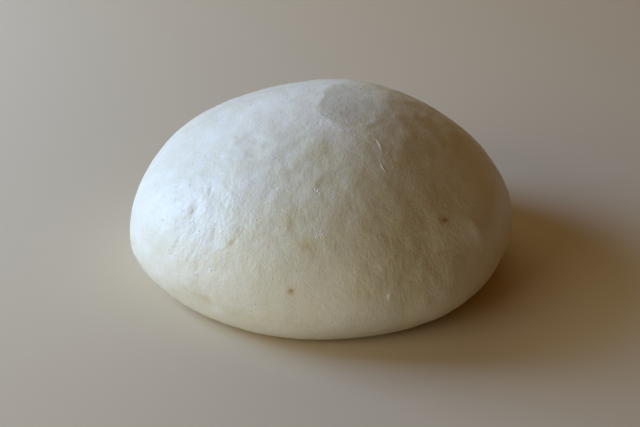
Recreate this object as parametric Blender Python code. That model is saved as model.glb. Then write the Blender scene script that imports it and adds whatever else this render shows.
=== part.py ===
"""A ball of kneaded bread dough: a low, taut dome that has settled under its own weight.

Metres, +Z up. The origin is on the ground, under the middle of the ball. The dough is one solid piece.
Its skin is an ellipsoid whose lower half is cut by the ground, swollen and pressed in a few places, with the
folds of its skin as relief. A place on the ball is an azimuth, counter-clockwise from +X, and a latitude,
from 0 degrees at the waist to 90 at the crown. The front of the ball faces -Y.
"""

import math
from typing import NamedTuple

import bmesh
import bpy
from mathutils import Vector, noise

MM = 0.001

# The ball
WAIST_RADIUS = 75 * MM
CROWN_RISE = 50 * MM  # from the waist up to the crown
WAIST_HEIGHT = 17 * MM  # from the ground up to the waist
BELLY_DROP = 33 * MM  # from the waist down to where the lower half would end without the ground
FOOT_ROUNDING = 3.6 * MM  # how softly the belly turns into the flat foot
CUTS_PER_FACE = 27  # of the cube that the skin starts from: 28 x 28 squares a face

# Slow unevenness of a hand-shaped ball
LUMP_SIZE = 26 * MM
LUMP_HEIGHT = 0.35 * MM


class Swell(NamedTuple):
    """A broad place where the ball stands out, or is pressed in where the height is negative."""

    azimuth: float
    latitude: float
    spread: float
    height: float


SWELLS = (
    Swell(azimuth=196, latitude=-4, spread=15, height=1.2 * MM),  # a full belly, left of the front
    Swell(azimuth=232, latitude=-8, spread=11, height=-1.3 * MM),  # beside it, drawn in down to the ground
    Swell(azimuth=266, latitude=-12, spread=17, height=1.2 * MM),  # the front
    Swell(azimuth=306, latitude=-8, spread=13, height=1.6 * MM),  # right of the front
    Swell(azimuth=335, latitude=-3, spread=13, height=-2.4 * MM),  # the flatter right side
    Swell(azimuth=8, latitude=8, spread=12, height=0.8 * MM),
    Swell(azimuth=68, latitude=60, spread=15, height=1.0 * MM),  # the highest shoulder, behind the crown
    Swell(azimuth=130, latitude=54, spread=17, height=-0.6 * MM),
    Swell(azimuth=172, latitude=24, spread=12, height=-0.6 * MM),
    Swell(azimuth=95, latitude=6, spread=20, height=-0.9 * MM),  # the back
    Swell(azimuth=326, latitude=48, spread=17, height=-1.8 * MM),  # the flattened right shoulder
    Swell(azimuth=10, latitude=60, spread=13, height=-0.7 * MM),  # and on behind the crown
    Swell(azimuth=283, latitude=14, spread=9, height=0.55 * MM),  # low on the front
    Swell(azimuth=271, latitude=52, spread=8, height=-0.3 * MM),  # above it
    Swell(azimuth=187, latitude=61, spread=10, height=-0.45 * MM),  # on the left, below the crown
    Swell(azimuth=16, latitude=75, spread=20, height=1.5 * MM),  # the crown's right side
    Swell(azimuth=207, latitude=45, spread=15, height=-1.5 * MM),  # the flattened left shoulder
    Swell(azimuth=230, latitude=27, spread=11, height=-0.9 * MM),  # and on below it
    Swell(azimuth=258, latitude=-3, spread=20, height=-1.4 * MM),  # the front, less full than its sides
    Swell(azimuth=304, latitude=27, spread=11, height=-1.2 * MM),  # a shallow valley right of the front
    Swell(azimuth=330, latitude=21, spread=8, height=1.4 * MM),  # the rise beside it
    Swell(azimuth=356, latitude=33, spread=15, height=-0.9 * MM),  # high on the right
)


class CrownPatch(NamedTuple):
    """Where the skin on top was folded over: a lobed, shallow hollow beside the crown.

    It is placed in the plan. Its left edge is a broad, low lip, its floor falls away to the right, and its
    right edge is soft.
    """

    middle_x: float = 12 * MM
    middle_y: float = -1.5 * MM
    half_width: float = 13.5 * MM
    half_length: float = 20 * MM  # from front to back
    lobing: float = 0.10  # share of the radius
    lobes: int = 3
    lobe_turn: float = math.radians(50)
    depth: float = 0.06 * MM  # at its left end
    fall: float = 0.25 * MM  # how much deeper its right end is
    crisp_slope: float = 2.6 * MM  # width of the slope into the hollow, on the left
    soft_slope: float = 12 * MM  # on the right
    crispness: float = 0.55  # of the front and back edges, from 0, soft, to 1, crisp
    crisp_swing: float = 0.8  # how much crisper than that the left edge is, and how much softer the right
    lip_height: float = 0.26 * MM
    lip_outside: float = 10 * MM
    lip_inside: float = 6 * MM


class ShoulderFold(NamedTuple):
    """A soft fold that runs in an arc down the right shoulder, gentle inside its bow and steep outside."""

    azimuth: float = 309
    latitude: float = 11
    bow_radius: float = 19 * MM
    start: float = -8  # degrees round the bow, counter-clockwise from its right
    end: float = 100
    lower_taper: float = 16  # degrees over which it dies out at each end
    upper_taper: float = 80
    height: float = 0.5 * MM
    inner_width: float = 3.2 * MM
    outer_width: float = 2.0 * MM


class Seam(NamedTuple):
    """Under the ball, where the skin is gathered and pinched shut."""

    radius: float = 24 * MM
    depth: float = 2.0 * MM
    pleats: int = 7
    pleat_share: float = 0.35  # of the depth
    twist: float = 1.1  # radians that a pleat turns between the rim and the middle


CROWN_PATCH = CrownPatch()
LOWEST_PATCH = 0.5  # height of the direction vector below which the patch has no part
SHOULDER_FOLD = ShoulderFold()
SEAM = Seam()

DOUGH_COLOUR = (0.80, 0.73, 0.58, 1.0)
DOUGH_ROUGHNESS = 0.55


def clear_scene():
    """Removes every object of the open file."""
    for thing in list(bpy.data.objects):
        bpy.data.objects.remove(thing)


def direction_at(azimuth, latitude):
    """Unit vector from the middle of the waist towards a place on the ball, given in degrees."""
    turn, tilt = math.radians(azimuth), math.radians(latitude)
    return Vector((math.cos(turn) * math.cos(tilt), math.sin(turn) * math.cos(tilt), math.sin(tilt)))


def half_axes(direction):
    """The ellipsoid's three half axes on the side that a direction points to."""
    rise = CROWN_RISE if direction.z > 0 else BELLY_DROP
    return Vector((WAIST_RADIUS, WAIST_RADIUS, rise))


def plain_point(direction):
    """The smooth ball's surface in a direction, measured from the middle of the waist."""
    return direction * half_axes(direction)


def plain_normal(direction):
    """The smooth ball's outward normal in a direction."""
    axes = half_axes(direction)
    return Vector(part / axis for part, axis in zip(direction, axes)).normalized()


def smooth_step(value):
    """0 up to 0, 1 from 1 on, with no corner in between."""
    value = min(max(value, 0.0), 1.0)
    return value * value * (3 - 2 * value)


def bell(value):
    """1 at 0, dying out smoothly to both sides."""
    return math.exp(-value * value)


def swell_height(direction):
    """How far all the broad swells together lift the skin in a direction."""
    total = 0.0
    for swell in SWELLS:
        away = math.degrees(direction.angle(direction_at(swell.azimuth, swell.latitude)))
        total += swell.height * bell(away / swell.spread)
    return total


def laid_flat(direction, azimuth, latitude):
    """How far a place is to the right of and above a feature's middle, as seen square to the skin there."""
    middle = direction_at(azimuth, latitude)
    towards_crown = direction_at(azimuth, latitude + 90)
    outward = plain_normal(middle)
    right = towards_crown.cross(middle)
    up = outward.cross(right)
    offset = plain_point(direction) - plain_point(middle)
    return offset.dot(right), offset.dot(up)


def crown_patch_height(direction):
    """The hollow beside the crown, with its lip."""
    if direction.z < LOWEST_PATCH:
        return 0.0
    patch = CROWN_PATCH
    point = plain_point(direction)
    across, along = point.x - patch.middle_x, point.y - patch.middle_y
    round_it = math.atan2(along, across)
    lobed_edge = 1 + patch.lobing * math.cos(patch.lobes * round_it + patch.lobe_turn)
    reach = math.hypot(across / patch.half_width, along / patch.half_length) / lobed_edge
    inside = (1 - reach) * patch.half_width
    crispness = smooth_step(patch.crispness - patch.crisp_swing * math.cos(round_it))
    slope = patch.soft_slope + (patch.crisp_slope - patch.soft_slope) * crispness
    floor = patch.depth + patch.fall * (across / patch.half_width + 1) / 2
    lip_width = patch.lip_inside if inside > 0 else patch.lip_outside
    return crispness * patch.lip_height * bell(inside / lip_width) - floor * smooth_step(inside / slope)


def shoulder_fold_height(direction):
    """The soft fold down the right shoulder."""
    fold = SHOULDER_FOLD
    if direction.dot(direction_at(fold.azimuth, fold.latitude)) < 0:
        return 0.0
    across, along = laid_flat(direction, fold.azimuth, fold.latitude)
    off_bow = math.hypot(across, along) - fold.bow_radius
    round_bow = math.degrees(math.atan2(along, across))
    lower_end = smooth_step((round_bow - fold.start) / fold.lower_taper)
    upper_end = smooth_step((fold.end - round_bow) / fold.upper_taper)
    width = fold.inner_width if off_bow < 0 else fold.outer_width
    return fold.height * lower_end * upper_end * bell(off_bow / width)


def lump_height(point):
    """Slow unevenness that no named swell gives."""
    return LUMP_HEIGHT * noise.noise(point / LUMP_SIZE)


def seam_height(x, y):
    """How far the gathered skin under the ball stands off the ground."""
    reach = math.hypot(x, y) / SEAM.radius
    if reach >= 1:
        return 0.0
    pleat = math.cos(SEAM.pleats * (math.atan2(y, x) + SEAM.twist * reach))
    hollow = (1 - reach * reach) ** 2
    return SEAM.depth * hollow * (1 + SEAM.pleat_share * reach * pleat)


def rest_on_ground(height):
    """A height above the ground, with all that would be under it turned into the flat foot."""
    if height > FOOT_ROUNDING:
        return height
    if height < -FOOT_ROUNDING:
        return 0.0
    return (height + FOOT_ROUNDING) ** 2 / (4 * FOOT_ROUNDING)


def skin_point(direction):
    """The dough's surface in a direction from the middle of its waist, in the part's frame."""
    point = plain_point(direction)
    relief = crown_patch_height(direction) + shoulder_fold_height(direction) + lump_height(point)
    point += direction * swell_height(direction) + plain_normal(direction) * relief
    height = rest_on_ground(point.z + WAIST_HEIGHT)
    if height == 0.0:
        height = seam_height(point.x, point.y)
    return Vector((point.x, point.y, height))


def even_direction(corner):
    """Direction to a point on the starting cube, warped so that its squares cover the ball evenly."""
    return Vector(math.tan(part * math.pi / 4) for part in corner).normalized()


def centre_over_origin(mesh):
    """Moves a mesh so that the middle of its outline from above is at x = y = 0."""
    middle = [(min(side) + max(side)) / 2 for side in zip(*(v.co.xy for v in mesh.verts))]
    bmesh.ops.translate(mesh, vec=(-middle[0], -middle[1], 0), verts=mesh.verts)


def dough_ball_mesh():
    """The ball's closed skin: a cube's even grid of squares, laid on the dough's surface."""
    mesh = bmesh.new()
    bmesh.ops.create_cube(mesh, size=2)
    bmesh.ops.subdivide_edges(mesh, edges=mesh.edges, cuts=CUTS_PER_FACE, use_grid_fill=True)
    for vertex in mesh.verts:
        vertex.co = skin_point(even_direction(vertex.co))
    centre_over_origin(mesh)
    finished = bpy.data.meshes.new("dough_ball")
    mesh.to_mesh(finished)
    mesh.free()
    finished.shade_smooth()
    return finished


def raw_dough():
    """Creamy off-white, slightly moist."""
    material = bpy.data.materials.new("raw_dough")
    material.use_nodes = True
    shader = material.node_tree.nodes["Principled BSDF"]
    shader.inputs["Base Color"].default_value = DOUGH_COLOUR
    shader.inputs["Roughness"].default_value = DOUGH_ROUGHNESS
    shader.inputs["Metallic"].default_value = 0.0
    return material


def build():
    """Makes the dough ball in its own collection."""
    clear_scene()
    collection = bpy.data.collections.new("bread_dough")
    bpy.context.scene.collection.children.link(collection)
    ball = bpy.data.objects.new("dough_ball", dough_ball_mesh())
    ball.data.materials.append(raw_dough())
    collection.objects.link(ball)


build()
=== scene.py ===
"""Dresses a ball of kneaded bread dough: skin with folds, creases and drawn strands, bran flecks and flour.

Lengths are metres, or millimetres on the small marks whose docstrings say so, and +Z is up. The ball rests
on z = 0 with its front towards -Y. A place on the ball is an azimuth, counter-clockwise from +X, and a
latitude, from 0 degrees at the waist to 90 at the crown. Both are angles on a sphere that is then flattened
to the ball, so they stay evenly spread over its skin.
"""

import logging
import math
import random
from collections.abc import Iterable
from dataclasses import dataclass, field
from enum import Enum

import bmesh
import bpy
import numpy as np
from mathutils import Matrix, Vector, noise
from mathutils.bvhtree import BVHTree


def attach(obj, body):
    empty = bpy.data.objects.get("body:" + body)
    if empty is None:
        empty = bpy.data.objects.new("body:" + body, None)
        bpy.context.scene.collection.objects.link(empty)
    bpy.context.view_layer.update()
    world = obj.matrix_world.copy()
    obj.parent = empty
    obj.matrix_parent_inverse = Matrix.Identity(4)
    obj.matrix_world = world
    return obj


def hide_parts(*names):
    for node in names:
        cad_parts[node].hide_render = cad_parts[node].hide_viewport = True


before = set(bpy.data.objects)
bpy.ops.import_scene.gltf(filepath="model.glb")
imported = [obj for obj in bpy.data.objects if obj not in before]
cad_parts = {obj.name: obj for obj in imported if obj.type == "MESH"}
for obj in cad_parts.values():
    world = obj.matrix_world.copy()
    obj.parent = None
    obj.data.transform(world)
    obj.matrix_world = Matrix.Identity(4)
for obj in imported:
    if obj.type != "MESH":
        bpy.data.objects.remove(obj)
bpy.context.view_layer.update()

log = logging.getLogger("bread_dough")

MM = 0.001
BODY = "root"
FAR_AWAY = 1.0
TINY = 1e-9  # added to what might be 0 before it is divided by


def hex_to_linear(code: str) -> tuple[float, float, float, float]:
    """Turns an sRGB hex colour into the linear colour that shaders and lights take.

    Args:
        code: Six hex digits after a #.

    Returns:
        Red, green, blue and an alpha of 1.
    """
    levels = [int(code[at : at + 2], 16) / 255 for at in (1, 3, 5)]
    red, green, blue = (v / 12.92 if v <= 0.04045 else ((v + 0.055) / 1.055) ** 2.4 for v in levels)
    return red, green, blue, 1.0


def add_node(
    tree: bpy.types.NodeTree, kind: str, inputs: dict[str | int, object] | None = None, **settings: object
) -> bpy.types.Node:
    """Adds one node to a material's tree.

    Args:
        tree: The tree that the node goes into.
        kind: The node's type, without Blender's ShaderNode before it.
        inputs: For a socket's name or number, the value it is set to or the output that feeds it.
        settings: The node's own properties.

    Returns:
        The new node.
    """
    node = tree.nodes.new("ShaderNode" + kind)
    for name, value in settings.items():
        setattr(node, name, value)
    for key, value in (inputs or {}).items():
        if isinstance(value, bpy.types.NodeSocket):
            tree.links.new(value, node.inputs[key])
        else:
            node.inputs[key].default_value = value
    return node


def new_material(name: str) -> tuple[bpy.types.Material, bpy.types.NodeTree, bpy.types.Node]:
    """Makes a material with a Principled BSDF.

    Args:
        name: The material's name.

    Returns:
        The material, its node tree and its Principled BSDF.
    """
    material = bpy.data.materials.new(name)
    material.use_nodes = True
    return material, material.node_tree, material.node_tree.nodes["Principled BSDF"]


def finished_object(name: str, mesh: bmesh.types.BMesh) -> bpy.types.Object:
    """Turns a bmesh into a smooth object at the origin.

    Args:
        name: The piece's name.
        mesh: Its mesh in place, which is freed.

    Returns:
        The new object, in the scene.
    """
    data = bpy.data.meshes.new(name)
    mesh.to_mesh(data)
    mesh.free()
    data.shade_smooth()
    piece = bpy.data.objects.new(name, data)
    bpy.context.scene.collection.objects.link(piece)
    return piece


def unit(vectors: np.ndarray) -> np.ndarray:
    """Gives each row a length of 1."""
    return vectors / np.linalg.norm(vectors, axis=-1, keepdims=True)


def smooth_step(values: np.ndarray) -> np.ndarray:
    """0 up to 0, 1 from 1 on, with no corner in between."""
    values = np.clip(values, 0.0, 1.0)
    return values * values * (3 - 2 * values)


def bell(values: np.ndarray) -> np.ndarray:
    """1 at 0, dying out smoothly to both sides."""
    return np.exp(-values * values)


def noise_at(points: np.ndarray, size: float, shift: float = 0.0) -> np.ndarray:
    """Smooth noise at each point.

    Args:
        points: One point a row.
        size: Distance from one lump of the noise to the next.
        shift: Moves the noise along, so that two noises of one size differ.

    Returns:
        Values round 0, mostly between -0.5 and 0.5.
    """
    return np.array([noise.noise(point) for point in points / size + shift])


@dataclass(frozen=True)
class Place:
    """A place on the ball, in degrees."""

    azimuth: float
    latitude: float

    def direction(self) -> np.ndarray:
        """Unit vector to the place from the middle of the waist."""
        turn, tilt = math.radians(self.azimuth), math.radians(self.latitude)
        return np.array((math.cos(turn) * math.cos(tilt), math.sin(turn) * math.cos(tilt), math.sin(tilt)))

    def degrees_away(self, directions: np.ndarray) -> np.ndarray:
        """How many degrees each direction is away from the place."""
        return np.degrees(np.arccos(np.clip(directions @ self.direction(), -1.0, 1.0)))

    def closeness(self, directions: np.ndarray, reach: float) -> np.ndarray:
        """1 at the place, dying out smoothly over a reach in degrees."""
        return bell(self.degrees_away(directions) / reach)


@dataclass(frozen=True)
class Dome:
    """The plain ball: an ellipsoid with a flatter lower half, which the ground cuts off."""

    waist_radius: float = 75 * MM
    crown_rise: float = 50 * MM
    waist_height: float = 17 * MM
    belly_drop: float = 33 * MM
    foot_rounding: float = 3.6 * MM

    def half_axes(self, directions: np.ndarray) -> np.ndarray:
        """The ellipsoid's three half axes on the side that each direction points to.

        Args:
            directions: One direction, or one a row.

        Returns:
            The half axes along x, y and z, for each direction.
        """
        axes = np.full_like(directions, self.waist_radius)
        axes[..., 2] = np.where(directions[..., 2] > 0, self.crown_rise, self.belly_drop)
        return axes

    def points(self, directions: np.ndarray) -> np.ndarray:
        """The surface in each direction, measured from the middle of the waist."""
        return directions * self.half_axes(directions)

    def normals(self, directions: np.ndarray) -> np.ndarray:
        """The outward normal in each direction."""
        return unit(directions / self.half_axes(directions))

    def laid_flat(self, directions: np.ndarray, place: Place) -> tuple[np.ndarray, np.ndarray]:
        """The skin as seen square to it at one place.

        Args:
            directions: One direction a row.
            place: The place to look at.

        Returns:
            How far each direction's surface point is to the right of the place, and how far above it. What is
            on the ball's far side is put far away.
        """
        middle = place.direction()
        towards_crown = Place(place.azimuth, place.latitude + 90).direction()
        right = np.cross(towards_crown, middle)
        up = np.cross(self.normals(middle), right)
        offsets = self.points(directions) - self.points(middle)
        offsets[directions @ middle < 0] += FAR_AWAY
        return offsets @ right, offsets @ up

    def distance(self, directions: np.ndarray, place: Place) -> np.ndarray:
        """How far each direction's surface point is from one place, as seen square to the skin there."""
        return np.hypot(*self.laid_flat(directions, place))

    def rest_on_ground(self, heights: np.ndarray) -> np.ndarray:
        """Turns what would be under the ground into the flat foot.

        Args:
            heights: Heights above the ground.

        Returns:
            The heights once the ball has settled, none below 0.
        """
        rounded = (heights + self.foot_rounding) ** 2 / (4 * self.foot_rounding)
        settled = np.where(heights < -self.foot_rounding, 0.0, rounded)
        return np.where(heights > self.foot_rounding, heights, settled)


@dataclass(frozen=True)
class Swell(Place):
    """A broad place where the ball stands out, or is pressed in where the height is negative."""

    spread: float
    height: float

    def heights(self, directions: np.ndarray) -> np.ndarray:
        """How far it lifts the skin in each direction."""
        return self.height * self.closeness(directions, self.spread)


@dataclass(frozen=True)
class CrownPatch:
    """Where the skin on top was turned over: a shallow, ragged hollow beside the crown.

    It is placed in the plan, and lies only where directions rise by more than its lowest rise. Its left edge
    is crisp, with a broad, low lip, its floor falls away to the right, and its right edge is soft. Its hollow
    gets a grey painted shade and sheen, most on its crisp left, and its lip a painted highlight.
    """

    lowest_rise: float = 0.5
    middle_x: float = 12 * MM
    middle_y: float = -1.5 * MM
    half_width: float = 13.5 * MM
    half_length: float = 20 * MM
    lobing: float = 0.10
    lobes: int = 3
    lobe_turn: float = math.radians(50)
    raggedness: float = 0.06
    rag_size: float = 5 * MM
    depth: float = 0.06 * MM
    fall: float = 0.25 * MM
    crisp_slope: float = 2.6 * MM
    soft_slope: float = 12 * MM
    crispness: float = 0.55
    crisp_swing: float = 0.8
    lip_height: float = 0.26 * MM
    lip_outside: float = 10 * MM
    lip_inside: float = 6 * MM
    soft_edge: float = 7 * MM
    # The share of the patch's grey painted shade and sheen that stays at its soft edge
    least_patch_shade: float = 0.9
    # How bright the painted highlight on the patch's lip is
    lip_highlight: float = 0.4

    def inside(self, dome: Dome, directions: np.ndarray) -> tuple[np.ndarray, np.ndarray, np.ndarray]:
        """Where each direction is in the patch.

        Args:
            dome: The ball it lies on.
            directions: One direction a row.

        Returns:
            How far inside the edge, how far to the right as a share of the half width, and how much of the
            crisp left edge is the nearest.
        """
        points = dome.points(directions)
        across, along = points[:, 0] - self.middle_x, points[:, 1] - self.middle_y
        round_it = np.arctan2(along, across)
        edge = 1 + self.lobing * np.cos(self.lobes * round_it + self.lobe_turn)
        edge = edge + self.raggedness * noise_at(points, self.rag_size)
        reach = np.hypot(across / self.half_width, along / self.half_length) / edge
        crispness = smooth_step(self.crispness - self.crisp_swing * np.cos(round_it))
        inside = np.where(directions[:, 2] < self.lowest_rise, -FAR_AWAY, (1 - reach) * self.half_width)
        return inside, across / self.half_width, crispness

    def heights(self, dome: Dome, directions: np.ndarray) -> np.ndarray:
        """How far it lifts the skin.

        Args:
            dome: The ball it lies on.
            directions: One direction a row.

        Returns:
            The height in each direction, negative in the hollow.
        """
        inside, rightwards, crispness = self.inside(dome, directions)
        slope = self.soft_slope + (self.crisp_slope - self.soft_slope) * crispness
        floor = self.depth + self.fall * (rightwards + 1) / 2
        width = np.where(inside > 0, self.lip_inside, self.lip_outside)
        return crispness * self.lip_height * bell(inside / width) - floor * smooth_step(inside / slope)

    def share(self, dome: Dome, directions: np.ndarray) -> np.ndarray:
        """How much grey painted shade and sheen each place of the patch gets, with the most on its crisp
        left.

        Args:
            dome: The ball it lies on.
            directions: One direction a row.

        Returns:
            Shares from 0 to 1.
        """
        inside, _, crispness = self.inside(dome, directions)
        edge = self.soft_edge + (self.crisp_slope - self.soft_edge) * crispness
        return smooth_step(inside / edge) * (self.least_patch_shade + (1 - self.least_patch_shade) * crispness)

    def pale_and_highlight(self, dome: Dome, directions: np.ndarray) -> np.ndarray:
        """How much painted highlight each place gets for being on the lip, from 0 to 1."""
        inside, _, crispness = self.inside(dome, directions)
        return self.lip_highlight * crispness * bell(np.minimum(inside, 0) / self.lip_outside) * (inside < 0)


@dataclass(frozen=True)
class ShoulderFold(Place):
    """A soft fold that runs in an arc down the right shoulder, gentle inside its bow and steep outside.

    Its place is the centre of the circle that the bow is part of. It starts, ends and tapers at angles round
    that centre, in degrees.
    """

    azimuth: float = 309
    latitude: float = 11
    bow_radius: float = 19 * MM
    start: float = -8
    end: float = 100
    lower_taper: float = 16
    upper_taper: float = 80
    height: float = 0.5 * MM
    inner_width: float = 3.2 * MM
    outer_width: float = 2.0 * MM

    def heights(self, dome: Dome, directions: np.ndarray) -> np.ndarray:
        """How far it lifts the skin.

        Args:
            dome: The ball it lies on.
            directions: One direction a row.

        Returns:
            The height in each direction.
        """
        across, along = dome.laid_flat(directions, self)
        off_bow = np.hypot(across, along) - self.bow_radius
        round_bow = np.degrees(np.arctan2(along, across))
        ends = smooth_step((round_bow - self.start) / self.lower_taper)
        ends = ends * smooth_step((self.end - round_bow) / self.upper_taper)
        width = np.where(off_bow < 0, self.inner_width, self.outer_width)
        return self.height * ends * bell(off_bow / width)


@dataclass(frozen=True)
class Wrinkle(Place):
    """A narrow ridge in the skin, or a groove where the height is negative. Its sizes are in millimetres.

    Its turn is in degrees, counter-clockwise from a line to the right, so 90 runs up the skin. Its bow is how
    far its middle is off the straight line between its ends. A dry one has a pale crest, partly dry skin and
    partly a painted highlight.
    """

    turn: float
    length: float
    width: float
    height: float
    bow: float = 0.0
    pale_and_highlight: float = 0.0

    def shape(self, dome: Dome, directions: np.ndarray) -> np.ndarray:
        """How much of its full height it has in each direction.

        Args:
            dome: The ball it lies on.
            directions: One direction a row.

        Returns:
            Shares from 0 to 1.
        """
        across, along = dome.laid_flat(directions, self)
        turn = math.radians(self.turn)
        lengthwise = 2 * (across * math.cos(turn) + along * math.sin(turn)) / (self.length * MM)
        sideways = along * math.cos(turn) - across * math.sin(turn) - self.bow * MM * (1 - lengthwise**2)
        return bell(lengthwise) * bell(2 * sideways / (self.width * MM))

    def heights(self, dome: Dome, directions: np.ndarray) -> np.ndarray:
        """How far it lifts the skin in each direction."""
        return self.height * MM * self.shape(dome, directions)


@dataclass(frozen=True)
class Blister(Place):
    """A gas bubble just under the skin. Its sizes are in metres."""

    radius: float
    height: float

    def heights(self, dome: Dome, directions: np.ndarray) -> np.ndarray:
        """How far it lifts the skin in each direction."""
        return self.height * bell(dome.distance(directions, self) / self.radius)


@dataclass(frozen=True)
class Seam:
    """Under the ball, where the skin is gathered and pinched shut."""

    radius: float = 24 * MM
    depth: float = 2.0 * MM
    pleats: int = 7
    pleat_share: float = 0.35
    twist: float = 1.1

    def heights(self, x: np.ndarray, y: np.ndarray) -> np.ndarray:
        """How far the gathered skin stands off the ground.

        Args:
            x: Places under the ball, along x.
            y: The same places, along y.

        Returns:
            The height at each place.
        """
        reach = np.minimum(np.hypot(x, y) / self.radius, 1.0)
        pleat = np.cos(self.pleats * (np.arctan2(y, x) + self.twist * reach))
        return self.depth * (1 - reach * reach) ** 2 * (1 + self.pleat_share * reach * pleat)


@dataclass(frozen=True)
class Strands:
    """Fine strands of gluten that the rounding drew out from the crown down to the foot.

    They come and go over the skin, and are bold where the hands dragged on it, above all on its left. They
    are noise that is smeared out along them in steps, with a gain that brings it up to about 1. The finish's
    grain follows a map of the skin: rings that widen from where the strands gather, stretched along them.
    """

    gathered_at: Place = Place(0, 84)
    bold_places: tuple[Place, ...] = (Place(226, 26), Place(298, 6), Place(75, 18), Place(140, 38))
    bold_reach: float = 19.0
    width: float = 1.0 * MM
    step: float = 0.7 * MM
    steps_each_way: int = 1
    height: float = 0.010 * MM
    bold_height: float = 0.029 * MM
    gain: float = 4.0
    patch_size: float = 14 * MM
    patch_shift: float = 7.3
    patch_contrast: float = 1.6
    faintest: float = 0.2
    map_radius: float = 28 * MM
    map_widening: float = 0.35
    map_stretch: float = 2.2

    def run(self, dome: Dome, directions: np.ndarray) -> np.ndarray:
        """Which way the strands run: down and away from where they gather.

        Args:
            dome: The ball they lie on.
            directions: One direction a row.

        Returns:
            A unit vector along the strands for each direction.
        """
        outward = dome.normals(directions)
        away = dome.points(directions) - dome.points(self.gathered_at.direction())
        away = away - (away * outward).sum(axis=1, keepdims=True) * outward
        return away / np.maximum(np.linalg.norm(away, axis=1, keepdims=True), MM)

    def boldness(self, directions: np.ndarray) -> np.ndarray:
        """How bold they are in each direction, from 0 to 1."""
        return np.max([place.closeness(directions, self.bold_reach) for place in self.bold_places], axis=0)

    def heights(self, dome: Dome, directions: np.ndarray) -> np.ndarray:
        """How far they lift the skin.

        Args:
            dome: The ball they lie on.
            directions: One direction a row.

        Returns:
            The height in each direction.
        """
        points, run = dome.points(directions), self.run(dome, directions)
        total, weights = np.zeros(len(points)), 0.0
        for place in range(-self.steps_each_way, self.steps_each_way + 1):
            weight = 1 - abs(place) / (self.steps_each_way + 1)
            total += weight * noise_at(points + run * place * self.step, self.width)
            weights += weight
        height = self.height + (self.bold_height - self.height) * self.boldness(directions)
        patches = 1 + self.patch_contrast * noise_at(points, self.patch_size, self.patch_shift)
        return self.gain * height * np.maximum(patches, self.faintest) * total / weights

    def grain_map(self, dome: Dome, directions: np.ndarray) -> np.ndarray:
        """Lays the skin out for the finish's grain.

        Args:
            dome: The ball they lie on.
            directions: One direction a row.

        Returns:
            One point a row.
        """
        away = dome.points(directions) - dome.points(self.gathered_at.direction())
        distance = np.linalg.norm(away, axis=1)
        ring = unit(away[:, :2] + TINY) * (self.map_radius + self.map_widening * distance[:, None])
        return np.column_stack((ring, distance / self.map_stretch))


# The broad swells and the places pressed in, which are the solid's too
SWELLS = (
    Swell(196, -4, spread=15, height=1.2 * MM),
    Swell(232, -8, spread=11, height=-1.3 * MM),
    Swell(266, -12, spread=17, height=1.2 * MM),
    Swell(306, -8, spread=13, height=1.6 * MM),
    Swell(335, -3, spread=13, height=-2.4 * MM),
    Swell(8, 8, spread=12, height=0.8 * MM),
    Swell(68, 60, spread=15, height=1.0 * MM),
    Swell(130, 54, spread=17, height=-0.6 * MM),
    Swell(172, 24, spread=12, height=-0.6 * MM),
    Swell(95, 6, spread=20, height=-0.9 * MM),
    Swell(326, 48, spread=17, height=-1.8 * MM),
    Swell(10, 60, spread=13, height=-0.7 * MM),
    Swell(283, 14, spread=9, height=0.55 * MM),
    Swell(271, 52, spread=8, height=-0.3 * MM),
    Swell(187, 61, spread=10, height=-0.45 * MM),
    Swell(16, 75, spread=20, height=1.5 * MM),
    Swell(207, 45, spread=15, height=-1.5 * MM),
    Swell(230, 27, spread=11, height=-0.9 * MM),
    Swell(258, -3, spread=20, height=-1.4 * MM),
    Swell(304, 27, spread=11, height=-1.2 * MM),
    Swell(330, 21, spread=8, height=1.4 * MM),
    Swell(356, 33, spread=15, height=-0.9 * MM),
)

# Thin creases of dry skin in front of the crown patch and low on the front, their pale crests partly painted
# highlight, then the ridges and the groove round the patch's right end
CREASES = (
    Wrinkle(306.5, 62.4, turn=75, length=6.4, width=0.75, height=0.19, bow=-0.4, pale_and_highlight=1.0),
    Wrinkle(299.9, 53.6, turn=88, length=5, width=0.75, height=0.18, bow=0.4, pale_and_highlight=1.0),
    Wrinkle(305.2, 48.2, turn=94, length=3.4, width=1.1, height=0.09, pale_and_highlight=0.3),
    Wrinkle(287.7, 71.2, turn=172, length=1.6, width=0.7, height=0.08, pale_and_highlight=0.8),
    Wrinkle(294.4, 71.1, turn=33, length=2.2, width=0.7, height=0.08, pale_and_highlight=0.8),
    Wrinkle(288, 6.6, turn=83, length=3.4, width=0.8, height=0.12, pale_and_highlight=1.0),
    Wrinkle(315.1, 71.5, turn=174, length=8, width=2.8, height=0.12, bow=0.6, pale_and_highlight=0.1),
    Wrinkle(339, 72.4, turn=9, length=12, width=3.2, height=0.06, bow=-1.0),
    Wrinkle(309, 57, turn=66, length=8, width=2.6, height=-0.10),
)

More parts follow.
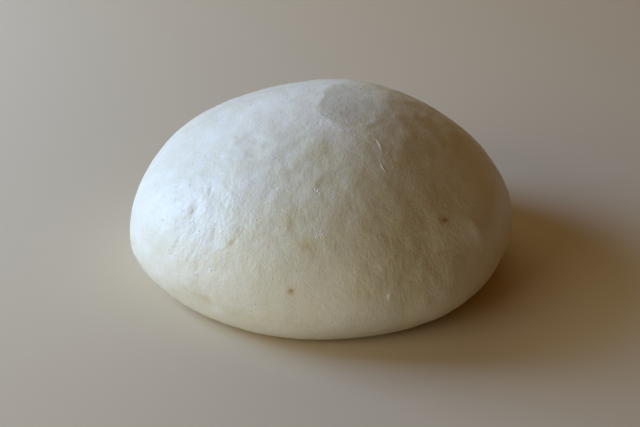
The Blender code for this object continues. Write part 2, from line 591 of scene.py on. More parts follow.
# The wrinkles that stand out by themselves: of the middle, the left side, the lower right, then the rest
WRINKLES = (
    Wrinkle(266, 63.7, turn=90, length=11, width=7, height=0.11),
    Wrinkle(276.2, 62.6, turn=78, length=9, width=6.5, height=-0.13),
    Wrinkle(267.9, 51.5, turn=56, length=11, width=4.2, height=0.12),
    Wrinkle(257.9, 40.1, turn=38, length=7, width=4.2, height=0.11),
    Wrinkle(260.8, 34.5, turn=112, length=8, width=3, height=-0.07),
    Wrinkle(248.7, 42, turn=99, length=8, width=3, height=-0.07),
    Wrinkle(248.3, 52.9, turn=92, length=8, width=3.4, height=-0.06),
    Wrinkle(254.1, 32.5, turn=92, length=6, width=2.6, height=-0.06),
    Wrinkle(278.1, 37.3, turn=70, length=7, width=3, height=-0.06),
    Wrinkle(282, 47.9, turn=141, length=5, width=4, height=0.08),
    Wrinkle(290.1, 72.4, turn=153, length=6, width=4, height=0.12),
    Wrinkle(223.4, 32.2, turn=103, length=9, width=4.2, height=-0.5),
    Wrinkle(229, 33.6, turn=117, length=8.6, width=4, height=0.15),
    Wrinkle(237, 44, turn=105, length=24, width=11, height=0.32),
    Wrinkle(227.3, 24.6, turn=81, length=6, width=2.6, height=-0.26),
    Wrinkle(235.2, 26.4, turn=101, length=7, width=2.8, height=-0.2),
    Wrinkle(222.3, 14.2, turn=71, length=11, width=3.2, height=-0.28),
    Wrinkle(228.5, 16.5, turn=74, length=9, width=2.6, height=0.17),
    Wrinkle(242.6, 25, turn=72, length=4, width=2.2, height=-0.18),
    Wrinkle(240.7, 28.8, turn=29, length=7, width=3.4, height=0.15),
    Wrinkle(221.5, 39, turn=111, length=3.2, width=2.2, height=-0.2),
    Wrinkle(224.9, 40.4, turn=118, length=3.2, width=2.2, height=-0.2),
    Wrinkle(236, -4, turn=133, length=9, width=2.6, height=-0.16),
    Wrinkle(290, 11.5, turn=80, length=11, width=5, height=0.13),
    Wrinkle(288.2, 7, turn=83, length=5, width=2, height=0.07),
    Wrinkle(291.5, 23.6, turn=85, length=9.5, width=4, height=0.08),
    Wrinkle(303.4, 38.5, turn=114, length=10, width=3.6, height=-0.08),
    Wrinkle(297.3, 34.5, turn=42, length=5, width=4.4, height=0.12),
    Wrinkle(283.2, 18.4, turn=117, length=4.5, width=3.6, height=-0.09),
    Wrinkle(298.7, 1.2, turn=144, length=6, width=4.2, height=0.12),
    Wrinkle(302, 8, turn=110, length=9, width=2.6, height=0.10),
    Wrinkle(321.8, 16, turn=100, length=10, width=3.2, height=0.24),
    Wrinkle(264, 14.1, turn=95, length=8, width=5, height=0.08),
    Wrinkle(277.1, -3.9, turn=108, length=8, width=5, height=0.10),
    Wrinkle(229.5, 57.3, turn=54, length=4, width=3.4, height=-0.09),
    Wrinkle(171.4, 65.2, turn=125, length=9, width=4, height=-0.10),
    Wrinkle(193.7, 68.3, turn=92, length=8.6, width=3.6, height=-0.08),
)


def even_place(draw: random.Random, lowest_latitude: float) -> Place:
    """Draws a place so that all of the ball above a latitude is equally likely."""
    lowest = math.sin(math.radians(lowest_latitude))
    return Place(draw.uniform(0, 360), math.degrees(math.asin(draw.uniform(lowest, 1.0))))


@dataclass(frozen=True)
class ScatteredRelief:
    """The small wrinkles and blisters that lie all round the ball in no order.

    What is drawn evenly has its smallest and largest value, and a turn and a bow have their usual value and
    their deviation. Sizes are in millimetres, and a blister's steepness is its height over its radius.
    """

    seed: int = 11
    wrinkles: int = 130
    blisters: int = 110
    lowest_latitude: float = -22
    wrinkle_turns: tuple[float, float] = (90, 22)
    wrinkle_lengths: tuple[float, float] = (5, 13)
    wrinkle_widths: tuple[float, float] = (1.8, 3.8)
    wrinkle_heights: tuple[float, float] = (0.025, 0.075)
    wrinkle_bows: tuple[float, float] = (0, 0.5)
    blister_radii: tuple[float, float] = (0.7, 1.8)
    blister_steepnesses: tuple[float, float] = (0.03, 0.07)

    def pieces(self) -> list[Wrinkle | Blister]:
        """Draws them all.

        Returns:
            The wrinkles, then the blisters.
        """
        draw = random.Random(self.seed)
        found: list[Wrinkle | Blister] = []
        for _ in range(self.wrinkles):
            place = even_place(draw, self.lowest_latitude)
            turn = draw.gauss(*self.wrinkle_turns)
            length, width = draw.uniform(*self.wrinkle_lengths), draw.uniform(*self.wrinkle_widths)
            height = draw.choice((-1, 1)) * draw.uniform(*self.wrinkle_heights)
            bow = draw.gauss(*self.wrinkle_bows)
            found.append(Wrinkle(place.azimuth, place.latitude, turn, length, width, height, bow))
        for _ in range(self.blisters):
            place = even_place(draw, self.lowest_latitude)
            radius = draw.uniform(*self.blister_radii) * MM
            height = radius * draw.uniform(*self.blister_steepnesses)
            found.append(Blister(place.azimuth, place.latitude, radius, height))
        return found


@dataclass(frozen=True)
class Fleck(Place):
    """A flake of bran in the dough, which is stained round it. Its sizes are in millimetres.

    Its darkness runs from 0 to 1, dark brown. One with a darkness of 0 is under the skin, and only its stain
    shows.
    """

    turn: float
    length: float
    width: float
    darkness: float
    stain: float = 0.0


# The flecks that show on the ball's front: the large ones, those under the skin, then the small ones
FRONT_FLECKS = (
    Fleck(261.4, 9.7, turn=10, length=2.0, width=1.5, darkness=0.3, stain=1.0),
    Fleck(311.7, 28.9, turn=15, length=2.6, width=1.5, darkness=0.85, stain=1.0),
    Fleck(209.4, 60.3, turn=0, length=1.3, width=0.7, darkness=0.2, stain=0.3),
    Fleck(246.7, 19, turn=75, length=2.2, width=0.9, darkness=0, stain=0.32),
    Fleck(265.3, 26.9, turn=40, length=2.3, width=1.1, darkness=0, stain=0.42),
    Fleck(242.1, 25.4, turn=70, length=2.2, width=0.9, darkness=0, stain=0.2),
    Fleck(282.6, 7.7, turn=10, length=2.0, width=0.8, darkness=0, stain=0.45),
    Fleck(334, 36.9, turn=30, length=2.2, width=1.0, darkness=0, stain=0.35),
    Fleck(236.1, -1.7, turn=20, length=2.0, width=0.8, darkness=0, stain=0.45),
    Fleck(228.4, -0.1, turn=80, length=1.7, width=0.8, darkness=0, stain=0.35),
    Fleck(230.5, 57, turn=50, length=1.8, width=0.8, darkness=0, stain=0.3),
    Fleck(131.3, 72.4, turn=15, length=1.1, width=0.7, darkness=0.2, stain=0.2),
    Fleck(251.7, 2.3, turn=40, length=0.6, width=0.4, darkness=0.55),
    Fleck(256.1, 13.9, turn=90, length=0.6, width=0.4, darkness=0.5),
    Fleck(274.8, 24.2, turn=10, length=0.55, width=0.4, darkness=0.55),
    Fleck(297.4, 24, turn=70, length=0.6, width=0.4, darkness=0.55),
    Fleck(291.5, 32.2, turn=30, length=0.5, width=0.4, darkness=0.5),
)


@dataclass(frozen=True)
class Blotch(Place):
    """A soft blotch of another tone in the skin. Its reach is in degrees."""

    reach: float
    share: float

    def left(self, directions: np.ndarray) -> np.ndarray:
        """How much of the skin's own tone it leaves in each direction."""
        return 1 - self.share * self.closeness(directions, self.reach)


def covered(blotches: Iterable[Blotch], directions: np.ndarray) -> np.ndarray:
    """How much of the skin's own tone some blotches cover together in each direction."""
    return 1 - np.prod([blotch.left(directions) for blotch in blotches], axis=0)


# Where the flour took up more water: two broad ones right of the front, then from left to right, and the
# back.
# The strongest, at 272 and 64, is partly painted shade of a swirl in the skin.
MOIST_AND_SHADE_BLOTCHES = (
    Blotch(303, 50, reach=20, share=0.36),
    Blotch(300, 18, reach=20, share=0.36),
    Blotch(235, -4, reach=3, share=0.6),
    Blotch(243, 25, reach=4, share=0.3),
    Blotch(259, 39, reach=5, share=0.45),
    # Partly the skin's yellower tone, partly painted shade of a swirl in the skin here
    Blotch(272, 64, reach=6, share=0.75),
    Blotch(270, 51, reach=4, share=0.4),
    Blotch(265, 27, reach=4, share=0.4),
    Blotch(282, 10, reach=5, share=0.45),
    Blotch(287, 52, reach=5, share=0.45),
    Blotch(292, 15, reach=4, share=0.35),
    Blotch(293, 44, reach=4, share=0.35),
    Blotch(294, 4, reach=5, share=0.4),
    Blotch(303, 65, reach=4, share=0.35),
    Blotch(312, 57, reach=4, share=0.35),
    Blotch(326, 69, reach=5, share=0.3),
    Blotch(336, 36, reach=3, share=0.4),
    Blotch(352, 59, reach=6, share=0.4),
    Blotch(40, 30, reach=17, share=0.4),
    Blotch(128, 12, reach=15, share=0.35),
)

# Where a film of fine flour dried on the skin
DUSTED_BLOTCHES = (
    Blotch(172, 72, reach=9, share=0.35),
    Blotch(195, 59, reach=7, share=0.3),
    Blotch(239, 48, reach=5, share=0.3),
    Blotch(242, 6, reach=8, share=0.25),
    Blotch(262, 5, reach=12, share=0.2),
    Blotch(285, 58, reach=4, share=0.2),
    Blotch(306, 22, reach=7, share=0.22),
    Blotch(346, 30, reach=11, share=0.3),
    Blotch(277, 3, reach=8, share=0.3),
    Blotch(278, 18, reach=5, share=0.25),
    Blotch(316, 20, reach=5, share=0.4),
    Blotch(334, 34, reach=6, share=0.3),
    Blotch(20, 12, reach=9, share=0.3),
    Blotch(100, 30, reach=9, share=0.3),
)


class Fineness(Enum):
    """Which squares of the skin's mesh are cut into four, one step after the other."""

    ALL_ROUND = "everything but the underside"
    FINE = "round folds and wrinkles"
    FINEST = "round thin creases and flecks"


@dataclass(frozen=True)
class Region(Place):
    """A round region of the skin that needs a finer mesh, out to so many degrees from its place."""

    reach: float
    fineness: Fineness


REGIONS = (
    Region(254, 36, reach=38, fineness=Fineness.FINE),
    Region(330, 79, reach=23, fineness=Fineness.FINE),
    Region(306, 24, reach=21, fineness=Fineness.FINE),
    Region(240, 82, reach=10, fineness=Fineness.FINEST),
    Region(308, 63.5, reach=5, fineness=Fineness.FINEST),
    Region(301, 54, reach=5, fineness=Fineness.FINEST),
    Region(323, 72, reach=5, fineness=Fineness.FINEST),
)


@dataclass(frozen=True)
class RawDough:
    """Raw wheat dough, kneaded smooth and rounded by hand.

    It is cream, a little yellower and darker in places where the flour took up more water, one of them partly
    painted shade. A thin moist film gives it a soft sheen. Its skin has a fine leathery grain along the drawn
    strands, and tiny gas bubbles press it up from below.
    """

    moist: str = "#DDD7BE"
    pale: str = "#E5E2D4"
    moister_and_shade: str = "#D7D0A8"
    # Grey painted shade and sheen for the crown patch's hollow
    patch_shade: str = "#C4C1B4"
    stained: str = "#C89C66"
    # White of flour, also painted as highlights on crease crests, on the crown patch's lip and as glints
    # round dustings
    floured_and_highlight: str = "#FBF9F3"
    mottle_size: float = 8 * MM
    mottle_span: tuple[float, float] = (0.34, 0.66)
    grain_width: float = 0.85 * MM
    grain_height: float = 0.24 * MM
    bubble_size: float = 0.9 * MM
    bubble_height: float = 0.14 * MM
    roughness_span: tuple[float, float] = (0.32, 0.5)
    ior: float = 1.4
    subsurface: float = 0.3
    subsurface_radius: tuple[float, float, float] = (1.0, 0.7, 0.4)
    subsurface_scale: float = 2 * MM

    def material(self) -> bpy.types.Material:
        """Builds the material.

        Returns:
            The new material.
        """
        material, tree, shader = new_material("raw_wheat_dough")
        place = add_node(tree, "TexCoord").outputs["Object"]
        tree.links.new(self.colour(tree, place), shader.inputs["Base Color"])
        grain, bumped = self.relief(tree, place)
        tree.links.new(bumped, shader.inputs["Normal"])
        lowest, highest = self.roughness_span
        roughness = add_node(tree, "MapRange", {"Value": grain, "To Min": lowest, "To Max": highest})
        tree.links.new(roughness.outputs["Result"], shader.inputs["Roughness"])
        shader.inputs["IOR"].default_value = self.ior
        shader.inputs["Subsurface Weight"].default_value = self.subsurface
        shader.inputs["Subsurface Radius"].default_value = self.subsurface_radius
        shader.inputs["Subsurface Scale"].default_value = self.subsurface_scale
        return material

    def colour(self, tree: bpy.types.NodeTree, place: bpy.types.NodeSocket) -> bpy.types.NodeSocket:
        """Mottled cream, yellower in blotches, one partly painted shade, with a grey painted shade and sheen
        in the crown patch, tan round flecks, white for flour and as painted highlight.

        Args:
            tree: The material's tree.
            place: Object coordinates.

        Returns:
            The colour.
        """
        mottling = {"Vector": place, "Scale": 1 / self.mottle_size, "Detail": 6.0, "Roughness": 0.7}
        mottle = add_node(tree, "TexNoise", mottling).outputs["Fac"]
        lowest, highest = self.mottle_span
        paleness = add_node(tree, "MapRange", {"Value": mottle, "From Min": lowest, "From Max": highest})
        coats = [(self.pale, paleness.outputs["Result"])]
        # The white tint stands for flour and for painted highlights; the crown patch's grey tint is painted
        # shade and sheen
        tints = (self.moister_and_shade, self.patch_shade, self.stained, self.floured_and_highlight)
        for tint, attribute in zip(tints, ("moisture_and_shade", "patch_shade", "stain", "pale_and_highlight")):
            coats.append((tint, add_node(tree, "Attribute", attribute_name=attribute).outputs["Fac"]))
        colour = hex_to_linear(self.moist)
        for tint, share in coats:
            mixed = add_node(tree, "Mix", {0: share, 6: colour, 7: hex_to_linear(tint)}, data_type="RGBA")
            colour = mixed.outputs[2]
        return colour

    def relief(
        self, tree: bpy.types.NodeTree, place: bpy.types.NodeSocket
    ) -> tuple[bpy.types.NodeSocket, bpy.types.NodeSocket]:
        """The grain along the strands, over the tiny bubbles.

        Args:
            tree: The material's tree.
            place: Object coordinates.

        Returns:
            The grain, from 0 to 1, and the normal.
        """
        pitting = {"Vector": place, "Scale": 1 / self.bubble_size, "Detail": 2.0, "Roughness": 0.6}
        bubbles = add_node(tree, "TexNoise", pitting).outputs["Fac"]
        lower = add_node(tree, "Bump", {"Height": bubbles, "Distance": self.bubble_height, "Strength": 1.0})
        strand_map = add_node(tree, "Attribute", attribute_name="strand_map").outputs["Vector"]
        graining = {"Vector": strand_map, "Scale": 1 / self.grain_width, "Detail": 4.0, "Roughness": 0.7}
        grain = add_node(tree, "TexNoise", graining).outputs["Fac"]
        boldness = add_node(tree, "Attribute", attribute_name="boldness").outputs["Fac"]
        grooves = add_node(tree, "Math", {0: grain, 1: boldness}, operation="MULTIPLY").outputs[0]
        upper = add_node(tree, "Bump", {"Height": grooves, "Distance": self.grain_height, "Strength": 1.0})
        tree.links.new(lower.outputs["Normal"], upper.inputs["Normal"])
        return grain, upper.outputs["Normal"]


@dataclass
class DoughSkin:
    """The ball's whole skin, as one closed piece.

    Its dimples, scattered wrinkles and blisters are rough round some places, calm round one and usual
    elsewhere. It has the finest mesh so many degrees round stained flecks and dustings.
    """

    dome: Dome = Dome()
    crown_patch: CrownPatch = CrownPatch()
    shoulder_fold: ShoulderFold = ShoulderFold()
    seam: Seam = Seam()
    strands: Strands = Strands()
    scattered: ScatteredRelief = ScatteredRelief()
    lump_size: float = 26 * MM
    lump_height: float = 0.35 * MM
    dimple_sizes: tuple[float, ...] = (8 * MM, 4 * MM, 2 * MM)
    dimple_share: float = 0.024
    dimple_shift: float = 3.7
    rough_places: tuple[Place, ...] = (
        Place(224, 27),
        Place(214, 62),
        Place(303, 14),
        Place(75, 18),
        Place(140, 38),
        Place(20, 50),
    )
    calm_place: Place = Place(268, 7)
    reach: float = 19.0
    usual: float = 0.85
    rough: float = 1.55
    calm: float = 0.45
    first_cuts: int = 45
    under_side: float = -0.999
    fleck_surround: float = 2.2
    dusting_surround: float = 1.4
    stain_reach: float = 0.65
    stain_share: float = 0.8
    dusting_reach: float = 0.7
    # How strong the crown patch's grey painted shade and sheen is
    patch_shade_share: float = 0.46
    least_boldness: float = 0.3
    shift: Vector = field(default_factory=Vector)
    surface: BVHTree | None = None

    def directions(self, corners: Iterable[Vector]) -> np.ndarray:
        """Turns points on the starting cube, of half size 1, into unit vectors spread evenly over it."""
        return unit(np.tan(np.array(list(corners)) * math.pi / 4))

    def refine(self, mesh: bmesh.types.BMesh, fineness: Fineness, flecks: Iterable[Fleck]) -> None:
        """Cuts the squares of the starting cube into four where one step of fineness asks for it.

        Args:
            mesh: The cube, subdivided.
            fineness: The step.
            flecks: Bran flecks, which need the finest mesh round them.
        """
        middles = [face.calc_center_median() for face in mesh.faces]
        directions = self.directions(middles)
        if fineness is Fineness.ALL_ROUND:
            chosen = np.array(middles)[:, 2] > self.under_side
        else:
            wanted = {fineness, Fineness.FINEST}
            rounds = [(region, region.reach) for region in REGIONS if region.fineness in wanted]
            rounds += [(fleck, self.fleck_surround) for fleck in flecks if fleck.stain]
            rounds += [(dusting, self.dusting_surround) for dusting in FRONT_DUSTINGS]
            chosen = np.any([place.degrees_away(directions) < reach for place, reach in rounds], axis=0)
        edges = {edge for face, wanted in zip(mesh.faces, chosen) if wanted for edge in face.edges}
        bmesh.ops.subdivide_edges(mesh, edges=list(edges), cuts=1, use_grid_fill=True)

    def relief(self, directions: np.ndarray) -> np.ndarray:
        """All that lifts the skin off the plain ball, except the broad swells.

        Args:
            directions: One direction a row.

        Returns:
            The height in each direction.
        """
        dome, shift = self.dome, self.dimple_shift
        points = dome.points(directions)
        uneven = sum(size * self.dimple_share * noise_at(points, size, shift) for size in self.dimple_sizes)
        for shape in self.scattered.pieces():
            uneven += shape.heights(dome, directions)
        roughness = np.max([place.closeness(directions, self.reach) for place in self.rough_places], axis=0)
        calmness = self.calm_place.closeness(directions, self.reach)
        rougher, calmer = self.rough - self.usual, self.usual - self.calm
        total = uneven * (self.usual + rougher * roughness - calmer * calmness)
        total += self.lump_height * noise_at(points, self.lump_size)
        for shape in (self.crown_patch, self.shoulder_fold, self.strands, *CREASES, *WRINKLES):
            total += shape.heights(dome, directions)
        return total

    def skin_points(self, directions: np.ndarray) -> np.ndarray:
        """The dough's surface, before the ball is centred.

        Args:
            directions: One direction a row.

        Returns:
            The surface point in each direction.
        """
        dome = self.dome
        swelling = sum(swell.heights(directions) for swell in SWELLS)
        points = dome.points(directions) + directions * swelling[:, None]
        points += dome.normals(directions) * self.relief(directions)[:, None]
        heights = dome.rest_on_ground(points[:, 2] + dome.waist_height)
        under = heights == 0.0
        heights[under] = self.seam.heights(points[under, 0], points[under, 1])
        points[:, 2] = heights
        return points

    def build(self, flecks: Iterable[Fleck]) -> bpy.types.Object:
        """Makes and dresses the skin, centred as the solid is.

        Args:
            flecks: Bran flecks, which stain the dough round them.

        Returns:
            The finished piece.
        """
        mesh = bmesh.new()
        bmesh.ops.create_cube(mesh, size=2)
        bmesh.ops.subdivide_edges(mesh, edges=mesh.edges, cuts=self.first_cuts, use_grid_fill=True)
        for fineness in Fineness:
            self.refine(mesh, fineness, flecks)
        directions = self.directions(vertex.co for vertex in mesh.verts)
        points = self.skin_points(directions)
        middle = (points[:, :2].min(axis=0) + points[:, :2].max(axis=0)) / 2
        self.shift = Vector((-middle[0], -middle[1], self.dome.waist_height))
        points[:, :2] -= middle
        for vertex, point in zip(mesh.verts, points):
            vertex.co = point
        self.surface = BVHTree.FromBMesh(mesh)
        piece = finished_object("dough_skin", mesh)
        self.record(piece.data, directions, flecks)
        piece.data.materials.append(RawDough().material())
        return piece

    def record(self, mesh: bpy.types.Mesh, directions: np.ndarray, flecks: Iterable[Fleck]) -> None:
        """Keeps on the mesh what its finish follows.

        Args:
            mesh: The skin's mesh.
            directions: Each vertex's direction.
            flecks: The bran flecks.
        """
        dome = self.dome
        # Crease crests are partly painted highlight, the lip's paleness is painted highlight, and round
        # dustings the skin is whitened for flour and as painted glints
        pale_and_highlight = sum(crease.pale_and_highlight * crease.shape(dome, directions) for crease in CREASES)
        pale_and_highlight += self.crown_patch.pale_and_highlight(dome, directions)
        stain = np.zeros(len(directions))
        for fleck in flecks:
            reach = self.stain_reach * (fleck.length * MM)
            stain = np.maximum(stain, fleck.stain * bell(dome.distance(directions, fleck) / reach))
        for dusting in FRONT_DUSTINGS:
            reach = self.dusting_reach * (dusting.largest * MM)
            pale_and_highlight += dusting.whiteness * bell(dome.distance(directions, dusting) / reach)
        pale_and_highlight += covered(DUSTED_BLOTCHES, directions)
        shares = {
            # The crown patch's grey painted shade and sheen
            "patch_shade": self.patch_shade_share * self.crown_patch.share(dome, directions),
            "stain": self.stain_share * stain,
            "pale_and_highlight": pale_and_highlight,
            "boldness": self.least_boldness + (1 - self.least_boldness) * self.strands.boldness(directions),
            # Yellower blotches, one of them partly painted shade
            "moisture_and_shade": covered(MOIST_AND_SHADE_BLOTCHES, directions),
        }
        for name, values in shares.items():
            mesh.attributes.new(name, "FLOAT", "POINT").data.foreach_set("value", np.clip(values, 0, 1))
        strand_map = mesh.attributes.new("strand_map", "FLOAT_VECTOR", "POINT")
        strand_map.data.foreach_set("vector", self.strands.grain_map(dome, directions).ravel())

    def spot(self, place: Place) -> Matrix:
        """A frame on the finished skin: x to the right, y up the skin, z outwards.

        Args:
            place: Where its origin is.

        Returns:
            The frame.
        """
        plain = Vector(self.dome.points(place.direction())) + self.shift
        location, outward, _, _ = self.surface.find_nearest(plain)
        turn = math.radians(place.azimuth)
        right = Vector((-math.sin(turn), math.cos(turn), 0))
        up = outward.cross(right).normalized()
        return Matrix.Translation(location) @ Matrix((up.cross(outward), up, outward)).transposed().to_4x4()


@dataclass(frozen=True)
class WheatBran:
    """Flakes of wheat bran, milled and soaked in the dough: tan to brown, and matt under a film of dough."""

    tan: str = "#E6D6B8"
    brown: str = "#6E3610"
    roughness: float = 0.85
    specular: float = 0.2
    fibre_width: float = 0.3 * MM
    fibre_contrast: float = 0.5
    darkness_span: tuple[float, float] = (0.25, 1.25)

    def material(self) -> bpy.types.Material:
        """Builds the material.

        Returns:
            The new material.
        """
        material, tree, shader = new_material("soaked_wheat_bran")
        darkness = add_node(tree, "Attribute", attribute_name="darkness").outputs["Fac"]
        place = add_node(tree, "TexCoord").outputs["Object"]
        fibres = add_node(tree, "TexNoise", {"Vector": place, "Scale": 1 / self.fibre_width, "Detail": 2.0})
        streaked = {0: fibres.outputs["Fac"], 1: self.fibre_contrast, 2: darkness}
        uneven = add_node(tree, "Math", streaked, operation="MULTIPLY_ADD").outputs[0]
        lowest, highest = self.darkness_span
        shade = add_node(tree, "MapRange", {"Value": uneven, "From Min": lowest, "From Max": highest})
        tones = {0: shade.outputs["Result"], 6: hex_to_linear(self.tan), 7: hex_to_linear(self.brown)}
        colour = add_node(tree, "Mix", tones, data_type="RGBA").outputs[2]
        tree.links.new(colour, shader.inputs["Base Color"])
        shader.inputs["Roughness"].default_value = self.roughness
        shader.inputs["Specular IOR Level"].default_value = self.specular
        return material


@dataclass(frozen=True)
class BranFlecks:
    """The flakes of bran that show in the skin, sunk nearly flush with it.

    Off the front they are drawn: a length in millimetres between the first two of its numbers, most often the
    third, and what else has two numbers evenly between them.
    """

    seed: int = 5
    flecks_in_all: int = 60
    front: Place = Place(262, 30)
    front_reach: float = 55
    lowest_latitude: float = -18
    lengths: tuple[float, float, float] = (0.4, 1.5, 0.6)
    width_shares: tuple[float, float] = (0.5, 0.85)
    turns: tuple[float, float] = (0, 180)
    darknesses: tuple[float, float] = (0.05, 0.8)
    stains: tuple[float, float] = (0.1, 0.5)
    thickness: float = 0.12 * MM
    proud: float = 0.025 * MM
    raggedness: float = 0.35
    rag_pitch: float = 1.4

    def flecks(self) -> list[Fleck]:
        """Draws those that don't show on the front.

        Returns:
            The flecks of the front, then the others.
        """
        draw = random.Random(self.seed)
        found = list(FRONT_FLECKS)
        while len(found) < self.flecks_in_all:
            place = even_place(draw, self.lowest_latitude)
            length = draw.triangular(*self.lengths)
            width = length * draw.uniform(*self.width_shares)
            drawn_evenly = (self.turns, self.darknesses, self.stains)
            turn, darkness, stain = (draw.uniform(*span) for span in drawn_evenly)
            if self.front.degrees_away(place.direction()) > self.front_reach:
                found.append(Fleck(place.azimuth, place.latitude, turn, length, width, darkness, stain))
        return found

    def build(self, skin: DoughSkin) -> bpy.types.Object:
        """Makes and dresses all the flecks as one piece.

        Args:
            skin: The finished skin that they lie in.

        Returns:
            The finished piece.
        """
        mesh = bmesh.new()
        darkness = mesh.verts.layers.float.new("darkness")
        for number, fleck in enumerate(self.flecks()):
            if fleck.darkness == 0:
                continue
            flake = bmesh.ops.create_icosphere(mesh, subdivisions=2, radius=1.0)["verts"]
            for vertex in flake:
                vertex[darkness] = fleck.darkness
                rag = noise.noise(vertex.co * self.rag_pitch + Vector((number, 0, 0)))
                vertex.co *= 1 + self.raggedness * rag
            sunk = Matrix.Translation((0, 0, self.proud - self.thickness / 2))
            turned = Matrix.Rotation(math.radians(fleck.turn), 4, "Z")
            flattened = Matrix.Diagonal((fleck.length * MM / 2, fleck.width * MM / 2, self.thickness / 2, 1))
            bmesh.ops.transform(mesh, matrix=skin.spot(fleck) @ sunk @ turned @ flattened, verts=flake)
        piece = finished_object("bran_flecks", mesh)
        piece.data.materials.append(WheatBran().material())
        return piece


@dataclass(frozen=True)
class WheatFlour:
    """Dry wheat flour that clings to the skin in grains and crumbs: white and quite matt."""

    colour: str = "#FCFAF4"
    clumped: str = "#F3EFE2"
    roughness: float = 0.9
    clump_size: float = 1.5 * MM

    def material(self) -> bpy.types.Material:
        """Builds the material.

        Returns:
            The new material.
        """
        material, tree, shader = new_material("dry_wheat_flour")
        place = add_node(tree, "TexCoord").outputs["Object"]
        uneven = add_node(tree, "TexNoise", {"Vector": place, "Scale": 1 / self.clump_size}).outputs["Fac"]
        tones = {0: uneven, 6: hex_to_linear(self.colour), 7: hex_to_linear(self.clumped)}
        colour = add_node(tree, "Mix", tones, data_type="RGBA").outputs[2]
        tree.links.new(colour, shader.inputs["Base Color"])
        shader.inputs["Roughness"].default_value = self.roughness
        return material


@dataclass(frozen=True)
class Dusting(Place):
    """Grains of flour round one place, where the skin is whitened for finer flour and as a painted highlight
    of glints, unless its whiteness is 0.

    Their spread is in degrees. The largest, whose width is in millimetres, lies in the middle. Their loft is
    their height as a share of their width.
    """

    grains: int
    spread: float
    largest: float
    loft: float = 0.5
    whiteness: float = 1.0


# The dustings that show on the ball's front, the last two of them wide and thin
FRONT_DUSTINGS = (
    Dusting(237.2, 11.8, grains=5, spread=0.6, largest=1.2, loft=0.3),
    Dusting(232.3, 9.2, grains=2, spread=0.5, largest=0.6, loft=0.3),
    Dusting(242.4, 21.6, grains=3, spread=0.5, largest=0.6, loft=0.3),
    Dusting(219.7, 12.6, grains=3, spread=0.7, largest=0.7, loft=0.3),
    Dusting(224.1, 26.5, grains=4, spread=0.8, largest=0.6, loft=0.3),
    Dusting(236.5, 28.4, grains=6, spread=1.4, largest=0.6, loft=0.3),
    Dusting(233.2, 41, grains=2, spread=0.7, largest=0.6, loft=0.3),
    Dusting(252.3, 46.8, grains=4, spread=1.2, largest=0.8, loft=0.4),
    Dusting(256.5, 39.5, grains=6, spread=1.4, largest=0.8, loft=0.4),
    Dusting(268.3, 47.5, grains=3, spread=0.6, largest=0.9, loft=0.4),
    Dusting(269.9, 31.2, grains=14, spread=1.3, largest=0.9, loft=0.4),
    Dusting(287.8, 29.1, grains=2, spread=0.6, largest=0.6),
    Dusting(301.5, 26.9, grains=3, spread=0.9, largest=0.5),
    Dusting(287.9, 6.1, grains=4, spread=0.7, largest=0.9),
    Dusting(303, 5.7, grains=2, spread=0.7, largest=0.6),
    Dusting(274.6, 80, grains=5, spread=1.6, largest=0.5),
    Dusting(290.8, 71.7, grains=5, spread=1.6, largest=0.5),
    Dusting(229, 25, grains=70, spread=11, largest=0.8, whiteness=0),
    Dusting(262, 40, grains=50, spread=10, largest=0.7, whiteness=0),
)


@dataclass(frozen=True)
class FlourGrains:
    """Tiny grains and crumbs of flour, each pressed into the skin past its middle.

    What has two numbers is drawn evenly between them.
    """

    seed: int = 23
    lone_grains: int = 900
    smallest: float = 0.16 * MM
    commonest: float = 0.22 * MM
    largest: float = 0.55 * MM
    lone_lofts: tuple[float, float] = (0.3, 0.8)
    lesser_shares: tuple[float, float] = (0.5, 0.9)
    bulges: tuple[float, float] = (0.75, 1.25)
    sunk_share: float = 0.45
    lowest_latitude: float = -20

    def grains(self) -> list[tuple[Place, float, float]]:
        """Draws the grains.

        Returns:
            Each grain's place, width and loft.
        """
        draw = random.Random(self.seed)
        found = []
        for dusting in FRONT_DUSTINGS:
            aside = dusting.spread / math.cos(math.radians(dusting.latitude))
            for number in range(dusting.grains):
                azimuth = dusting.azimuth + draw.gauss(0, aside)
                near = Place(azimuth, dusting.latitude + draw.gauss(0, dusting.spread))
                width = dusting.largest * MM * (draw.uniform(*self.lesser_shares) if number else 1.0)
                found.append((near if number else dusting, width, dusting.loft))
        for _ in range(self.lone_grains):
            width = draw.triangular(self.smallest, self.largest, self.commonest)
            found.append((even_place(draw, self.lowest_latitude), width, draw.uniform(*self.lone_lofts)))
        return found

    def build(self, skin: DoughSkin) -> bpy.types.Object:
        """Makes and dresses all the grains as one piece.

        Args:
            skin: The finished skin that they lie on.

        Returns:
            The finished piece.
        """
        draw = random.Random(self.seed + 1)
        mesh = bmesh.new()
        for place, width, loft in self.grains():
            grain = bmesh.ops.create_icosphere(mesh, subdivisions=1, radius=width / 2)["verts"]
            for vertex in grain:
                vertex.co *= draw.uniform(*self.bulges)
            sunk = Matrix.Translation((0, 0, -self.sunk_share * loft * width / 2))
            turned = Matrix.Rotation(draw.uniform(0, math.tau), 4, "Z")
            settled = sunk @ turned @ Matrix.Diagonal((1, 1, loft, 1))
            bmesh.ops.transform(mesh, matrix=skin.spot(place) @ settled, verts=grain)
        piece = finished_object("flour_grains", mesh)
        piece.data.materials.append(WheatFlour().material())
        return piece


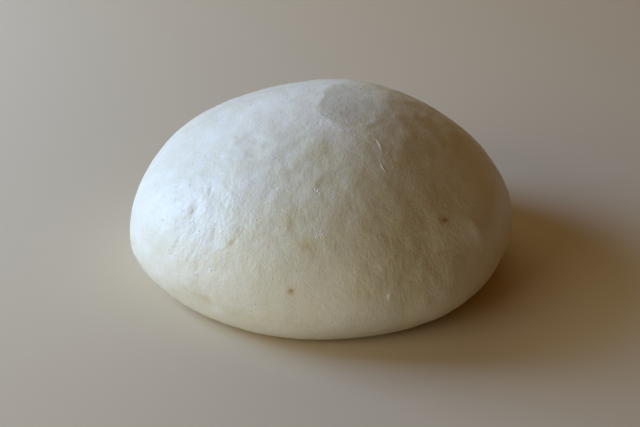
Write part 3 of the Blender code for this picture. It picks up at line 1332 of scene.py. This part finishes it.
@dataclass(frozen=True)
class StudioFloor:
    """A plain sheet of pale matt card."""

    colour: str = "#D2BFA0"
    roughness: float = 0.9
    half_size: float = 3.0

    def build(self) -> bpy.types.Object:
        """Lays the sheet on z = 0.

        Returns:
            The sheet.
        """
        mesh = bmesh.new()
        bmesh.ops.create_grid(mesh, x_segments=1, y_segments=1, size=self.half_size)
        floor = finished_object("floor", mesh)
        material, _, shader = new_material("pale_matt_card")
        shader.inputs["Base Color"].default_value = hex_to_linear(self.colour)
        shader.inputs["Roughness"].default_value = self.roughness
        floor.data.materials.append(material)
        return floor


def aimed(data: bpy.types.ID, target: Vector, away: Vector, distance: float) -> bpy.types.Object:
    """Stands a lamp or a camera up and aims it at a point.

    Args:
        data: The lamp or the camera.
        target: The point.
        away: Unit vector from the point towards the lamp or the camera.
        distance: How far away that is.

    Returns:
        The new object, in the scene.
    """
    stand = bpy.data.objects.new(data.name, data)
    turned = away.to_track_quat("Z", "Y").to_matrix().to_4x4()
    stand.matrix_world = Matrix.Translation(target + away * distance) @ turned
    bpy.context.scene.collection.objects.link(stand)
    return stand


@dataclass(frozen=True)
class SoftLamp:
    """A square soft lamp that is aimed at the ball. Its azimuth and elevation are in degrees."""

    name: str
    azimuth: float
    elevation: float
    size: float
    power: float
    colour: str
    distance: float = 0.9

    def build(self, target: Vector) -> None:
        """Hangs the lamp.

        Args:
            target: The point it shines at.
        """
        light = bpy.data.lights.new(self.name, "AREA")
        light.size = self.size
        light.energy = self.power
        light.color = hex_to_linear(self.colour)[:3]
        aimed(light, target, Vector(Place(self.azimuth, self.elevation).direction()), self.distance)


@dataclass(frozen=True)
class Studio:
    """Floor, lamps, surroundings and camera."""

    elevation: float = 27.0
    distance: float = 524.3 * MM
    lens_mm: float = 75.0
    sensor_width_mm: float = 36.0
    aim: tuple[float, float, float] = (-0.8 * MM, -4.5 * MM, 21.2 * MM)
    lamps: tuple[SoftLamp, ...] = (
        SoftLamp("window_lamp", azimuth=165, elevation=24, size=0.5, power=11.1, colour="#A5C8FF"),
        SoftLamp("fill_lamp", azimuth=215, elevation=15, size=0.7, power=4.15, colour="#F8FFF3"),
        SoftLamp("back_lamp", azimuth=100, elevation=30, size=0.9, power=1.42, colour="#FFFACF"),
    )
    surroundings: str = "#FFB85C"
    surroundings_strength: float = 0.098

    def build(self) -> None:
        """Sets everything up round the ball."""
        StudioFloor().build()
        target = Vector(self.aim)
        for lamp in self.lamps:
            lamp.build(target)
        world = bpy.data.worlds.new("surroundings")
        world.use_nodes = True
        background = world.node_tree.nodes["Background"]
        background.inputs["Color"].default_value = hex_to_linear(self.surroundings)
        background.inputs["Strength"].default_value = self.surroundings_strength
        bpy.context.scene.world = world
        bpy.context.scene.view_settings.view_transform = "Standard"
        self.add_camera(target)

    def add_camera(self, target: Vector) -> None:
        """Stands the camera in front of the ball, looking down on it.

        Args:
            target: The point in the middle of its picture.
        """
        camera = bpy.data.cameras.new("camera")
        camera.lens = self.lens_mm
        camera.sensor_width = self.sensor_width_mm
        tilt = math.radians(self.elevation)
        back = Vector((0, -math.cos(tilt), math.sin(tilt)))
        bpy.context.scene.camera = aimed(camera, target, back, self.distance)


def main() -> None:
    """Builds and dresses the ball of dough, and sets up the studio round it."""
    flecks, skin = BranFlecks(), DoughSkin()
    dough = skin.build(flecks.flecks())
    for piece in (dough, flecks.build(skin), FlourGrains().build(skin)):
        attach(piece, BODY)
        piece.data.calc_loop_triangles()
        log.info("%s: %d triangles", piece.name, len(piece.data.loop_triangles))
    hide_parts("dough_ball")
    Studio().build()


if __name__ == "__main__":
    logging.basicConfig(level=logging.INFO, format="%(name)s: %(message)s")
    main()
